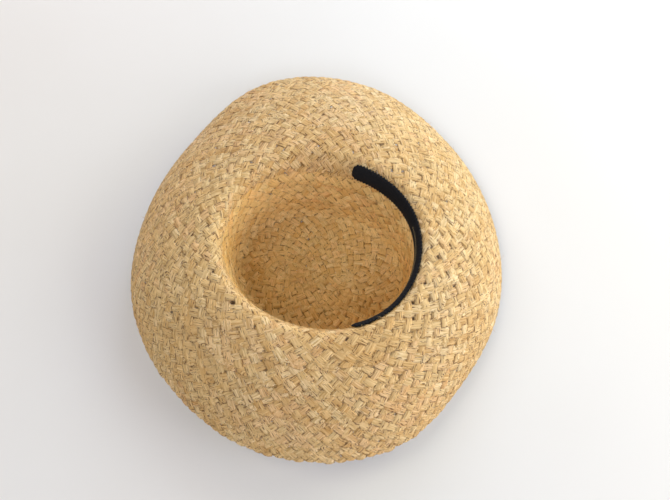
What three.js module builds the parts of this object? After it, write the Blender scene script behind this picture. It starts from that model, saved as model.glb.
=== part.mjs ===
// A wide-brimmed sun hat of sewn straw braid, lying upside down on the flat tip of its crown.
// Millimetres, +Z up. Z = 0 is the floor under the tip, and the head goes in from above.
// The straw runs in rows of braid, lapped like shingles: flat rows on the tip, rows up the wall
// of the crown, and rows out over the brim. One surface runs through the middle of all of them,
// and each piece is a wall of straw set on its stretch of that surface.

import * as THREE from "three";
import { mergeVertices } from "three/addons/utils/BufferGeometryUtils.js";

// Straw and its sewing
const STRAW_THICKNESS = 1.6;
const SEAM_STEP = 1.1; // how far a row's lower edge stands out over the next row
const ROW_LAP = 5; // width of braid hidden under its neighbour
const SEWN_CLEARANCE = 0.3; // between pieces sewn face to face

// Tip of the crown: an oval drawn round a straight core, lying flat on the floor
const TIP_CORE = 22; // half of the straight stretch, along X
const TIP_ROWS = 3;
const TIP_ROW_WIDTH = 22;
const TIP_SHIFT = -11; // the crown leans this far in Y, from the opening to the tip
const TIP_ROUNDING = 9; // reach of the soft corner between tip and wall

// Head opening, at the break between crown and brim
const OPENING_CORE = 10;
const OPENING_RADIUS = 86;
const CROWN_DEPTH = 82;
const BREAK_ROUNDING = 8; // reach of the soft bend from wall to brim
const WALL_ROWS = 3;
const COLLAR_DEPTH = 11; // how far below the break the sewing of brim to crown lies

// Brim
const BRIM_ROWS = 5;
const BRIM_ROW_WIDTH = 24.5;

// Black padded strip inside the opening, on the +X side
const BAND_HEIGHT = 13.5;
const BAND_EDGE_THICKNESS = 0.9;
const BAND_PADDING = 1.7; // added in the middle of its height
const BAND_START = -60; // degrees round the opening from +X
const BAND_END = 83.5;
const BAND_BELOW_BREAK = 1.5;
const BAND_CLEARANCE = 0.5; // from the straw behind it

// Flare of the wall: how much of the way in from opening to tip is covered at each depth
const WALL_FLARE = [
  { depthShare: 0, insetShare: 0 },
  { depthShare: 0.12, insetShare: 0.27 },
  { depthShare: 0.32, insetShare: 0.54 },
  { depthShare: 0.65, insetShare: 0.8 },
  { depthShare: 1, insetShare: 1 },
];

// Droop of the brim towards the crown, in degrees below level, every 30 degrees round from +X
const BRIM_DROOP = [
  { atBreak: 7, atEdge: 69 },
  { atBreak: 8, atEdge: 66 },
  { atBreak: 7, atEdge: 55 },
  { atBreak: 0, atEdge: 41 },
  { atBreak: 7, atEdge: 32 },
  { atBreak: 10, atEdge: 52 },
  { atBreak: 4, atEdge: 63 },
  { atBreak: 3, atEdge: 59 },
  { atBreak: 6, atEdge: 53 },
  { atBreak: 3, atEdge: 45 },
  { atBreak: 3, atEdge: 49 },
  { atBreak: 4, atEdge: 70 },
];

// Facets
const SIDES = 56; // round the hat
const BAND_STEPS = 22; // along the strip between its rounded ends
const BAND_END_STEPS = 4; // round each end
const DROOP_STEPS = 16; // for adding up the brim's curve
const NORMAL_STEP = 0.01; // share of a row

// Places along the middle surface, counted in rows from the centre of the tip
const TIP_EDGE = TIP_ROWS;
const BREAK = TIP_ROWS + WALL_ROWS;
const BRIM_EDGE = BREAK + BRIM_ROWS;

const TIP_RADIUS = TIP_ROWS * TIP_ROW_WIDTH;
const FLOOR_TO_SURFACE = STRAW_THICKNESS / 2 + SEAM_STEP;
const WALL_ROW_WIDTH = CROWN_DEPTH / WALL_ROWS;
const radians = THREE.MathUtils.degToRad;

// Smooth value of one column of the droop table at any direction round the hat.
function droopAt(direction, column) {
  const count = BRIM_DROOP.length;
  const turn = THREE.MathUtils.euclideanModulo(direction / (2 * Math.PI), 1) * count;
  const row = Math.floor(turn);
  const t = turn - row;
  const [before, from, to, after] = [-1, 0, 1, 2].map(
    (step) => BRIM_DROOP[(row + step + count) % count][column],
  );
  const slope = (to - before) / 2;
  const nextSlope = (after - from) / 2;
  const bend = 3 * (to - from) - 2 * slope - nextSlope;
  const twist = 2 * (from - to) + slope + nextSlope;
  return radians(from + slope * t + bend * t * t + twist * t * t * t);
}

// Share of the way in from opening to tip, at a share of the crown's depth.
function insetAt(depthShare) {
  const above = WALL_FLARE.findLastIndex((row) => row.depthShare <= depthShare);
  const from = WALL_FLARE[Math.min(above, WALL_FLARE.length - 2)];
  const to = WALL_FLARE[Math.min(above, WALL_FLARE.length - 2) + 1];
  const t = (depthShare - from.depthShare) / (to.depthShare - from.depthShare);
  return from.insetShare + t * (to.insetShare - from.insetShare);
}

// The middle surface before its corners are rounded, as an oval at each count of rows.
function sharpOval(rows, direction) {
  if (rows <= TIP_EDGE) {
    const radius = rows * TIP_ROW_WIDTH;
    return { core: TIP_CORE, radius, shift: TIP_SHIFT, height: FLOOR_TO_SURFACE };
  }
  if (rows <= BREAK) {
    const depthShare = (BREAK - rows) / WALL_ROWS;
    const inset = insetAt(depthShare);
    return {
      core: OPENING_CORE + inset * (TIP_CORE - OPENING_CORE),
      radius: OPENING_RADIUS + inset * (TIP_RADIUS - OPENING_RADIUS),
      shift: inset * TIP_SHIFT,
      height: FLOOR_TO_SURFACE + (1 - depthShare) * CROWN_DEPTH,
    };
  }
  const width = (rows - BREAK) * BRIM_ROW_WIDTH;
  const start = droopAt(direction, "atBreak");
  const end = droopAt(direction, "atEdge");
  let radius = OPENING_RADIUS;
  let height = FLOOR_TO_SURFACE + CROWN_DEPTH;
  for (let step = 0; step < DROOP_STEPS; step += 1) {
    const share = ((step + 0.5) / DROOP_STEPS) * ((rows - BREAK) / BRIM_ROWS);
    const droop = start + share * (end - start);
    radius += (Math.cos(droop) * width) / DROOP_STEPS;
    height -= (Math.sin(droop) * width) / DROOP_STEPS;
  }
  return { core: OPENING_CORE, radius, shift: 0, height };
}

// The oval with the corner at the tip's edge and the bend at the break rounded off.
function oval(rows, direction) {
  const corners = [
    { at: TIP_EDGE, before: TIP_ROUNDING / TIP_ROW_WIDTH, after: TIP_ROUNDING / WALL_ROW_WIDTH },
    { at: BREAK, before: BREAK_ROUNDING / WALL_ROW_WIDTH, after: BREAK_ROUNDING / BRIM_ROW_WIDTH },
  ];
  for (const { at, before, after } of corners) {
    if (rows > at - before && rows < at + after) {
      const t = (rows - at + before) / (before + after);
      const start = sharpOval(at - before, direction);
      const middle = sharpOval(at, direction);
      const end = sharpOval(at + after, direction);
      const mix = (key) =>
        (1 - t) ** 2 * start[key] + 2 * t * (1 - t) * middle[key] + t ** 2 * end[key];
      return { core: mix("core"), radius: mix("radius"), shift: mix("shift"), height: mix("height") };
    }
  }
  return sharpOval(rows, direction);
}

// A point of the middle surface. The core's straight stretch is eased into the round ends.
function surfacePoint(rows, direction) {
  const { core, radius, shift, height } = oval(rows, direction);
  const c = Math.cos(direction);
  const along = (c * (3 - c * c)) / 2;
  return new THREE.Vector3(
    core * along + radius * c,
    shift + radius * Math.sin(direction),
    height,
  );
}

// A point at a distance from the middle surface: positive is the outside, away from the head.
function offsetPoint(rows, direction, distance) {
  const outward = new THREE.Vector3(Math.cos(direction), Math.sin(direction), 0);
  const step = surfacePoint(rows + NORMAL_STEP, direction);
  step.sub(surfacePoint(rows - NORMAL_STEP, direction));
  const run = step.dot(outward);
  const length = Math.hypot(run, step.z);
  const point = surfacePoint(rows, direction);
  point.addScaledVector(outward, (distance * step.z) / length);
  point.z -= (distance * run) / length;
  return point;
}

// One row of braid: where it starts and ends, its lift at both, and its number of facets.
function braidRow(first, last, startLift, endLift, facets) {
  return { first, last, startLift, endLift, facets };
}

// How far a row of braid stands off the middle surface.
function liftAt(row, rows) {
  const share = THREE.MathUtils.clamp((rows - row.first) / (row.last - row.first), 0, 1);
  return row.startLift + share * (row.endLift - row.startLift);
}

// The rings of one face: every row from where it comes into view to where it goes out of view.
function faceRings(braids, shownFrom, shownTo, side) {
  return braids.flatMap((row, index) => {
    const from = shownFrom(row, index);
    const to = shownTo(row, index);
    return Array.from({ length: row.facets + 1 }, (_, i) => {
      const rows = from + (i / row.facets) * (to - from);
      return { rows, distance: liftAt(row, rows) + (side * STRAW_THICKNESS) / 2 };
    });
  });
}

// The outer face shows each row up to its own lower edge, and the inner face from its upper one.
function outerRings(braids) {
  const from = (row, index) => (index === 0 ? row.first : braids[index - 1].last);
  return faceRings(braids, from, (row) => row.last, 1);
}

function innerRings(braids) {
  const to = (row, index) => (index === braids.length - 1 ? row.last : braids[index + 1].first);
  return faceRings(braids, (row) => row.first, to, -1);
}

function pointsOfRing({ rows, distance }) {
  return Array.from({ length: SIDES }, (_, i) =>
    offsetPoint(rows, (i / SIDES) * 2 * Math.PI, distance),
  );
}

// Triangles between neighbouring rings. A closed set joins the last ring to the first.
function skinTriangles(rings, closed) {
  const triangles = [];
  const spans = closed ? rings.length : rings.length - 1;
  for (let ring = 0; ring < spans; ring += 1) {
    const here = rings[ring];
    const next = rings[(ring + 1) % rings.length];
    here.forEach((a, i) => {
      const j = (i + 1) % here.length;
      triangles.push([a, here[j], next[j]], [a, next[j], next[i]]);
    });
  }
  return triangles;
}

// Triangles across a flat oval ring, in strips that run across its short way.
function capTriangles(ring, facesDown) {
  const half = ring.length / 2;
  const triangles = [];
  for (let i = 0; i < half; i += 1) {
    const quad = [ring[i], ring[i + 1], ring[ring.length - 1 - i], ring[(ring.length - i) % ring.length]];
    const pair = [
      [quad[0], quad[1], quad[2]],
      [quad[0], quad[2], quad[3]],
    ];
    triangles.push(...pair.filter((points) => new Set(points).size === 3));
  }
  return facesDown ? triangles.map(([a, b, c]) => [a, c, b]) : triangles;
}

function geometryOf(triangles) {
  const positions = triangles.flat().flatMap((point) => point.toArray());
  const geometry = new THREE.BufferGeometry();
  geometry.setAttribute("position", new THREE.Float32BufferAttribute(positions, 3));
  const merged = mergeVertices(geometry);
  merged.computeVertexNormals();
  return merged;
}

function piece(name, triangles, material) {
  const mesh = new THREE.Mesh(geometryOf(triangles), material);
  mesh.name = name;
  return mesh;
}

const strawMaterial = new THREE.MeshStandardMaterial({
  color: "#d3b886",
  roughness: 0.85,
  metalness: 0,
});
const brimMaterial = new THREE.MeshStandardMaterial({
  color: "#dcc596",
  roughness: 0.85,
  metalness: 0,
});
const bandMaterial = new THREE.MeshStandardMaterial({
  color: "#16161b",
  roughness: 0.7,
  metalness: 0,
});

// Rows hidden on either side of a seam line, in each part of the hat
const TIP_HALF_LAP = ROW_LAP / 2 / TIP_ROW_WIDTH;
const WALL_HALF_LAP = ROW_LAP / 2 / WALL_ROW_WIDTH;
const BRIM_HALF_LAP = ROW_LAP / 2 / BRIM_ROW_WIDTH;

// The seam of brim to crown: the collar stands inside the crown's top row, face to face with it
const COLLAR_SEAM = BREAK - COLLAR_DEPTH / WALL_ROW_WIDTH;
const CROWN_TOP = COLLAR_SEAM + WALL_HALF_LAP;
const COLLAR_FOOT = COLLAR_SEAM - WALL_HALF_LAP;
const COLLAR_LIFT = STRAW_THICKNESS + SEWN_CLEARANCE;

// The crown, from its flat core out over the tip and up the wall.
function crown() {
  const braids = [];
  for (let row = 2; row <= TIP_ROWS; row += 1) {
    const facets = row === TIP_ROWS ? 4 : 1;
    braids.push(braidRow(row - 1 - TIP_HALF_LAP, row + TIP_HALF_LAP, 0, SEAM_STEP, facets));
  }
  for (let row = TIP_ROWS + 1; row < BREAK; row += 1) {
    braids.push(braidRow(row - 1 - WALL_HALF_LAP, row + WALL_HALF_LAP, 0, SEAM_STEP, 3));
  }
  braids.push(braidRow(BREAK - 1 - WALL_HALF_LAP, COLLAR_FOOT, 0, COLLAR_LIFT, 3));
  braids.push(braidRow(COLLAR_FOOT, CROWN_TOP, COLLAR_LIFT, COLLAR_LIFT, 1));

  const coreEdge = 1 + TIP_HALF_LAP;
  const outerCore = { rows: coreEdge, distance: SEAM_STEP + STRAW_THICKNESS / 2 };
  const innerCore = { rows: 1 - TIP_HALF_LAP, distance: SEAM_STEP - STRAW_THICKNESS / 2 };
  const outer = outerRings(braids);
  outer[0] = { rows: coreEdge, distance: liftAt(braids[0], coreEdge) + STRAW_THICKNESS / 2 };
  const rings = [outerCore, ...outer, ...innerRings(braids).reverse(), innerCore].map(pointsOfRing);
  return [
    ...capTriangles(rings[0], true),
    ...skinTriangles(rings, false),
    ...capTriangles(rings.at(-1), false),
  ];
}

// The brim, from the collar inside the crown, over the break and out to its edge.
function brim() {
  const braids = [braidRow(COLLAR_FOOT, CROWN_TOP, 0, 0, 1)];
  braids.push(braidRow(CROWN_TOP, BREAK + 1 + BRIM_HALF_LAP, 0, SEAM_STEP, 6));
  for (let row = 2; row < BRIM_ROWS; row += 1) {
    const first = BREAK + row - 1 - BRIM_HALF_LAP;
    braids.push(braidRow(first, BREAK + row + BRIM_HALF_LAP, 0, SEAM_STEP, 2));
  }
  braids.push(braidRow(BRIM_EDGE - 1 - BRIM_HALF_LAP, BRIM_EDGE, 0, SEAM_STEP, 2));
  const rings = [...outerRings(braids), ...innerRings(braids).reverse()].map(pointsOfRing);
  return skinTriangles(rings, true);
}

// The black strip: a padded section carried round the inside of the opening, with round ends.
function innerBand() {
  const halfAngle = radians((BAND_END - BAND_START) / 2);
  const middleAngle = radians((BAND_END + BAND_START) / 2);
  const middle = BREAK - (BAND_BELOW_BREAK + BAND_HEIGHT / 2) / WALL_ROW_WIDTH;
  const endRadius = BAND_HEIGHT / 2;
  const perRadian =
    surfacePoint(middle, radians(BAND_END) + NORMAL_STEP).distanceTo(
      surfacePoint(middle, radians(BAND_END)),
    ) / NORMAL_STEP;
  const endAngle = endRadius / perRadian;

  const stations = [];
  for (let i = 0; i < BAND_END_STEPS; i += 1) {
    const turn = ((i + 0.6) / (BAND_END_STEPS + 0.6)) * (Math.PI / 2);
    const inward = halfAngle - endAngle * (1 - Math.cos(turn));
    stations.push({ direction: inward, halfHeight: endRadius * Math.sin(turn) });
  }
  const straight = halfAngle - endAngle;
  for (let i = 0; i <= BAND_STEPS; i += 1) {
    stations.push({ direction: straight * (1 - (2 * i) / BAND_STEPS), halfHeight: endRadius });
  }
  for (let i = BAND_END_STEPS - 1; i >= 0; i -= 1) {
    stations.push({ direction: -stations[i].direction, halfHeight: stations[i].halfHeight });
  }

  const heights = [-1, -0.55, 0, 0.55, 1];
  const back = -(STRAW_THICKNESS / 2 + BAND_CLEARANCE);
  const sections = stations.map(({ direction: fromMiddle, halfHeight }) => {
    const direction = middleAngle + fromMiddle;
    const at = (share) => middle + (share * halfHeight) / WALL_ROW_WIDTH;
    const behind = heights.map((share) => offsetPoint(at(share), direction, back));
    const front = heights.map((share) => {
      const padding = BAND_PADDING * (1 - share * share) * (halfHeight / endRadius);
      return offsetPoint(at(share), direction, back - BAND_EDGE_THICKNESS - padding);
    });
    return [...behind, ...front.reverse()];
  });
  const levels = heights.length;
  const endFace = (section) =>
    Array.from({ length: levels - 1 }, (_, i) => {
      const far = 2 * levels - 1 - i;
      return [
        [section[i], section[i + 1], section[far - 1]],
        [section[i], section[far - 1], section[far]],
      ];
    }).flat();
  return [
    ...endFace(sections[0]).map(([a, b, c]) => [a, c, b]),
    ...skinTriangles(sections, false),
    ...endFace(sections.at(-1)),
  ];
}

const hat = new THREE.Group();
const brimMesh = piece("brim", brim(), brimMaterial);
hat.add(piece("crown", crown(), strawMaterial));
hat.add(brimMesh);
hat.add(piece("inner_band", innerBand(), bandMaterial));

// The origin is on the floor under the middle of the brim.
const middleOfBrim = new THREE.Box3().setFromObject(brimMesh).getCenter(new THREE.Vector3());
hat.position.set(-middleOfBrim.x, -middleOfBrim.y, 0);

export default hat;
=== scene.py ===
"""Looks of the braided straw sun hat: plaited rows, sewn seams, black inner strip and studio."""

import logging
import math
from dataclasses import dataclass
from enum import Enum

import bmesh
import bpy
import numpy as np
from bpy.types import ID, Material, Mesh, Node, NodeSocket, NodeTree, Object
from mathutils import Matrix, Vector


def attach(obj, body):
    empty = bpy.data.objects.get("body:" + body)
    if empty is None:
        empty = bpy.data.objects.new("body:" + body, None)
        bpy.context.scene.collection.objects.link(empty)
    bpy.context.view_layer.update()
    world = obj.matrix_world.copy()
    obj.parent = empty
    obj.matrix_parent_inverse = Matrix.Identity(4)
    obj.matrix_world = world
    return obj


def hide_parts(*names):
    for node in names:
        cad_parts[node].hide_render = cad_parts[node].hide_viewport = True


MM = 0.001
log = logging.getLogger("hat")
logging.basicConfig(level=logging.INFO, format="%(message)s")

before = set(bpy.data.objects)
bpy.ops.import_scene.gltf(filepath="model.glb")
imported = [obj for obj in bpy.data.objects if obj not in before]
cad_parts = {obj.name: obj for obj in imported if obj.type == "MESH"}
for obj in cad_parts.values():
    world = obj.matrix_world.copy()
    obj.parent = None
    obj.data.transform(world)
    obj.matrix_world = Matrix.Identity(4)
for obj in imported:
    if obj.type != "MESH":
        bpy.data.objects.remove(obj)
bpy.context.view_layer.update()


def linear(hex_colour: str) -> tuple[float, float, float, float]:
    """Turn an sRGB hex colour into linear values.

    Args:
        hex_colour: a colour such as "#d8c08c".

    Returns:
        Red, green, blue and alpha, linear.
    """
    parts = [int(hex_colour[i : i + 2], 16) / 255 for i in (1, 3, 5)]
    values = [c / 12.92 if c <= 0.04045 else ((c + 0.055) / 1.055) ** 2.4 for c in parts]
    return (*values, 1.0)


def add_node(tree: NodeTree, kind: str, inputs: dict | None = None, **settings) -> Node:
    """Add one node with its settings and its links or values.

    Args:
        tree: the node tree that gets the node.
        kind: the node's bl_idname.
        inputs: socket name or index, to a value or to the output socket that feeds it.
        **settings: attributes set on the node before its inputs are filled.

    Returns:
        The new node.
    """
    node = tree.nodes.new(kind)
    for name, value in settings.items():
        setattr(node, name, value)
    for key, value in (inputs or {}).items():
        socket = node.inputs[key]
        if isinstance(value, NodeSocket):
            tree.links.new(value, socket)
        else:
            socket.default_value = value
    return node


def smooth(mesh: Mesh) -> None:
    """Shade every face of a mesh smooth."""
    mesh.polygons.foreach_set("use_smooth", np.ones(len(mesh.polygons), dtype=bool))


def points_of(mesh: Mesh) -> np.ndarray:
    """Give a mesh's points, one row of x, y and z each.

    Args:
        mesh: the mesh.

    Returns:
        The points in metres.
    """
    flat = np.empty(len(mesh.vertices) * 3, dtype=np.float32)
    mesh.vertices.foreach_get("co", flat)
    return flat.reshape(-1, 3).astype(float)


def move_points(mesh: Mesh, points: np.ndarray) -> None:
    """Move all points of a mesh."""
    mesh.vertices.foreach_set("co", points.astype(np.float32).ravel())
    mesh.update()


def store(mesh: Mesh, name: str, values: np.ndarray) -> None:
    """Store a number or a vector at each point of a mesh, for its finish to read."""
    kind, key = ("FLOAT_VECTOR", "vector") if values.ndim == 2 else ("FLOAT", "value")
    mesh.attributes.new(name, kind, "POINT").data.foreach_set(key, values.ravel())


def outward(mesh: Mesh) -> None:
    """Turn all faces of a closed mesh round if it encloses a negative volume.

    Args:
        mesh: the mesh, changed in place.
    """
    points = points_of(mesh)
    mesh.calc_loop_triangles()
    corners = np.empty(len(mesh.loop_triangles) * 3, dtype=np.int64)
    mesh.loop_triangles.foreach_get("vertices", corners)
    a, b, c = (points[corners.reshape(-1, 3)[:, i]] for i in range(3))
    if np.einsum("ij,ij->", a, np.cross(b, c)) < 0:
        mesh.flip_normals()


def in_scene(name: str, data: ID) -> Object:
    """Put an object with this data into the scene.

    Args:
        name: the object's name.
        data: its mesh, light or camera.

    Returns:
        The object, at the origin.
    """
    thing = bpy.data.objects.new(name, data)
    bpy.context.scene.collection.objects.link(thing)
    return thing


def settle(mesh: Mesh, node: str) -> None:
    """Put a finished mesh into the scene under its own name, hang it under the root body, hide its solid and
    report its triangles.

    Args:
        mesh: the mesh, in place.
        node: the solid that it stands for.
    """
    piece = in_scene(mesh.name, mesh)
    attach(piece, "root")
    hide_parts(node)
    piece.data.calc_loop_triangles()
    log.info("%s: %d triangles", piece.name, len(piece.data.loop_triangles))


class Side(Enum):
    """The way a strand leans across its braid."""

    RIGHT = 1
    LEFT = -1


@dataclass
class HatSurface:
    """The middle surface of the straw, counted in braid rows from the centre of the tip, in metres."""

    straw: float = 1.6 * MM
    seam_step: float = 1.1 * MM
    tip_core: float = 22 * MM
    tip_rows: int = 3
    tip_row_width: float = 22 * MM
    tip_shift: float = -11 * MM
    tip_rounding: float = 9 * MM
    opening_core: float = 10 * MM
    opening_radius: float = 86 * MM
    crown_depth: float = 82 * MM
    break_rounding: float = 8 * MM
    wall_rows: int = 3
    brim_rows: int = 5
    brim_row_width: float = 24.5 * MM
    # The wall leans in from the opening to the tip: how much of it is done, at shares of the crown's depth.
    flare_depth: tuple = (0, 0.12, 0.32, 0.65, 1)
    flare_inset: tuple = (0, 0.27, 0.54, 0.8, 1)
    # The brim's slope under level in degrees, every 30 degrees round the hat from +X towards +Y.
    droop_at_break: tuple = (7, 8, 7, 0, 7, 10, 4, 3, 6, 3, 3, 4)
    droop_at_edge: tuple = (69, 66, 55, 41, 32, 52, 63, 59, 53, 45, 49, 70)
    droop_steps: int = 16
    ring_points: int = 721
    small_step: float = 0.01
    # Brings the middle of the brim's outline to the origin, as in the frame.
    centre: tuple[float, float] = (2.9096 * MM, -1.4522 * MM)

    def __post_init__(self) -> None:
        """Find the places of the corners and the height of the surface over the floor."""
        self.brk = self.tip_rows + self.wall_rows
        self.edge = self.brk + self.brim_rows
        self.tip_radius = self.tip_rows * self.tip_row_width
        self.wall_row_width = self.crown_depth / self.wall_rows
        self.floor_to_surface = self.straw / 2 + self.seam_step

    def droop(self, column: tuple, direction: np.ndarray) -> np.ndarray:
        """Read one column of the droop smoothly at any direction, in radians.

        Args:
            column: slopes in degrees at even steps round the hat.
            direction: directions round the hat in radians.

        Returns:
            The slope at each direction.
        """
        table = np.radians(np.array(column, dtype=float))
        count = len(table)
        turn = (direction / (2 * math.pi)) % 1 * count
        row = np.floor(turn).astype(int)
        t = turn - row
        before, start, end, after = (table[(row + step) % count] for step in (-1, 0, 1, 2))
        slope, next_slope = (end - before) / 2, (after - start) / 2
        bend = 3 * (end - start) - 2 * slope - next_slope
        twist = 2 * (start - end) + slope + next_slope
        return start + slope * t + bend * t**2 + twist * t**3

    def sharp(self, rows: np.ndarray, direction: np.ndarray) -> np.ndarray:
        """Give core, radius, shift and height before the corners are rounded, stacked in that order.

        Args:
            rows: counts of rows from the centre of the tip, one for each point.
            direction: directions round the hat in radians.

        Returns:
            Four rows of metres, one column a point.
        """
        depth = np.clip((self.brk - rows) / self.wall_rows, 0, 1)
        inset = np.interp(depth, self.flare_depth, self.flare_inset)
        core = self.opening_core + inset * (self.tip_core - self.opening_core)
        radius = self.opening_radius + inset * (self.tip_radius - self.opening_radius)
        radius = np.where(rows < self.tip_rows, rows * self.tip_row_width, radius)
        height = self.floor_to_surface + (1 - depth) * self.crown_depth
        out = np.clip(rows - self.brk, 0, None)
        start, end = (self.droop(c, direction) for c in (self.droop_at_break, self.droop_at_edge))
        width = out * self.brim_row_width / self.droop_steps
        for step in range(self.droop_steps):
            angle = start + (step + 0.5) / self.droop_steps * out / self.brim_rows * (end - start)
            radius = radius + np.cos(angle) * width
            height = height - np.sin(angle) * width
        return np.stack([core, radius, inset * self.tip_shift, height])

    def oval(self, rows: np.ndarray, direction: np.ndarray) -> np.ndarray:
        """Give core, radius, shift and height with both corners rounded.

        Args:
            rows: counts of rows from the centre of the tip, one for each point.
            direction: directions round the hat in radians.

        Returns:
            Four rows of metres, one column a point.
        """
        result = self.sharp(rows, direction)
        corners = (
            (self.tip_rows, self.tip_rounding, self.tip_row_width, self.wall_row_width),
            (self.brk, self.break_rounding, self.wall_row_width, self.brim_row_width),
        )
        for at, rounding, width_before, width_after in corners:
            before, after = rounding / width_before, rounding / width_after
            t = np.clip((rows - at + before) / (before + after), 0, 1)
            start, middle, end = (
                self.sharp(np.full_like(rows, at + step), direction) for step in (-before, 0.0, after)
            )
            bent = (1 - t) ** 2 * start + 2 * t * (1 - t) * middle + t**2 * end
            result = np.where((rows > at - before) & (rows < at + after), bent, result)
        return result

    def point(self, rows: np.ndarray, direction: np.ndarray) -> np.ndarray:
        """Give points of the middle surface, one row of three values each.

        Args:
            rows: counts of rows from the centre of the tip, one for each point.
            direction: directions round the hat in radians.

        Returns:
            The points in metres.
        """
        core, radius, shift, height = self.oval(rows, direction)
        c = np.cos(direction)
        along = c * (3 - c * c) / 2
        x = core * along + radius * c + self.centre[0]
        y = shift + radius * np.sin(direction) + self.centre[1]
        return np.stack([x, y, height], axis=-1)

    def normal(self, rows: np.ndarray, direction: np.ndarray) -> np.ndarray:
        """Give unit normals that point to the outside, away from the head.

        Args:
            rows: counts of rows from the centre of the tip, one for each point.
            direction: directions round the hat in radians.

        Returns:
            One row of three values a point.
        """
        small = self.small_step
        step = self.point(rows + small, direction) - self.point(rows - small, direction)
        turn = self.point(rows, direction + small) - self.point(rows, direction - small)
        normal = np.cross(turn, step)
        normal /= np.maximum(np.linalg.norm(normal, axis=-1, keepdims=True), 1e-12)
        down = np.array([0.0, 0.0, -1.0])
        flat = (rows < self.tip_rows - 0.5)[..., None]
        return np.where(flat, down, normal)

    def row_table(self) -> tuple[list, list]:
        """Give rows and the distance across the braids at each, for the tip, the wall and the brim.

        Returns:
            The rows, and the metres at each.
        """
        wall = self.tip_radius + self.crown_depth
        brim = wall + self.brim_rows * self.brim_row_width
        spare_rows = 1
        rows = [0, self.tip_rows, self.brk, self.edge + spare_rows]
        return rows, [0, self.tip_radius, wall, brim + spare_rows * self.brim_row_width]

    def rows_at(self, distance: np.ndarray) -> np.ndarray:
        """Turn a distance across the braids from the centre of the tip into rows."""
        rows, widths = self.row_table()
        return np.interp(distance, widths, rows)

    def distance_at(self, rows: float) -> float:
        """Turn rows into the distance across the braids from the centre of the tip."""
        table_rows, widths = self.row_table()
        return float(np.interp(rows, table_rows, widths))

    def ring(self, rows: float) -> tuple[np.ndarray, np.ndarray]:
        """Give directions and the length round the hat up to each, at a count of rows.

        Args:
            rows: the count of rows.

        Returns:
            The directions in radians, and the metres up to each.
        """
        turns = np.linspace(0, 2 * math.pi, self.ring_points)
        points = self.point(np.full_like(turns, rows), turns)
        steps = np.linalg.norm(np.diff(points, axis=0), axis=1)
        return turns, np.concatenate([[0], np.cumsum(steps)])


@dataclass(frozen=True)
class Ramp:
    """A change of one value over a span of another, level outside the span."""

    low: float
    high: float
    at_low: float = 0.0
    at_high: float = 1.0

    def of(self, value: NodeSocket) -> dict:
        """Give the inputs of a Map Range node that changes a value in this way."""
        ends = {"From Min": self.low, "From Max": self.high, "To Min": self.at_low, "To Max": self.at_high}
        return {"Value": value, **ends}


@dataclass(frozen=True)
class Streaks:
    """Marks drawn out along a strand: their size, the jump between two strands' marks, and their detail."""

    long_mm: float
    wide_mm: float
    jump: float
    detail: float
    roughness: float = 0.5

    def add(self, tree: NodeTree, place: NodeSocket) -> NodeSocket:
        """Add the marks to a material.

        Args:
            tree: the material's nodes.
            place: metres along and across the strand, with the strand's tone as the third.

        Returns:
            The socket of the marks' strength.
        """
        scale = (1 / (self.long_mm * MM), 1 / (self.wide_mm * MM), self.jump)
        drawn = add_node(tree, "ShaderNodeMapping", {"Vector": place, "Scale": scale}).outputs[0]
        inputs = {"Vector": drawn, "Scale": 1.0, "Detail": self.detail, "Roughness": self.roughness}
        return add_node(tree, "ShaderNodeTexNoise", inputs).outputs["Fac"]


def start_material(name: str, sockets: dict) -> tuple[Material, NodeTree, Node]:
    """Start a material.

    Args:
        name: its name.
        sockets: names of the shader's own sockets, to what is the same all over the surface.

    Returns:
        The material, its nodes and its shader.
    """
    material = bpy.data.materials.new(name)
    material.use_nodes = True
    shader = material.node_tree.nodes["Principled BSDF"]
    for socket, value in sockets.items():
        shader.inputs[socket].default_value = value
    return material, material.node_tree, shader


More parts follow.
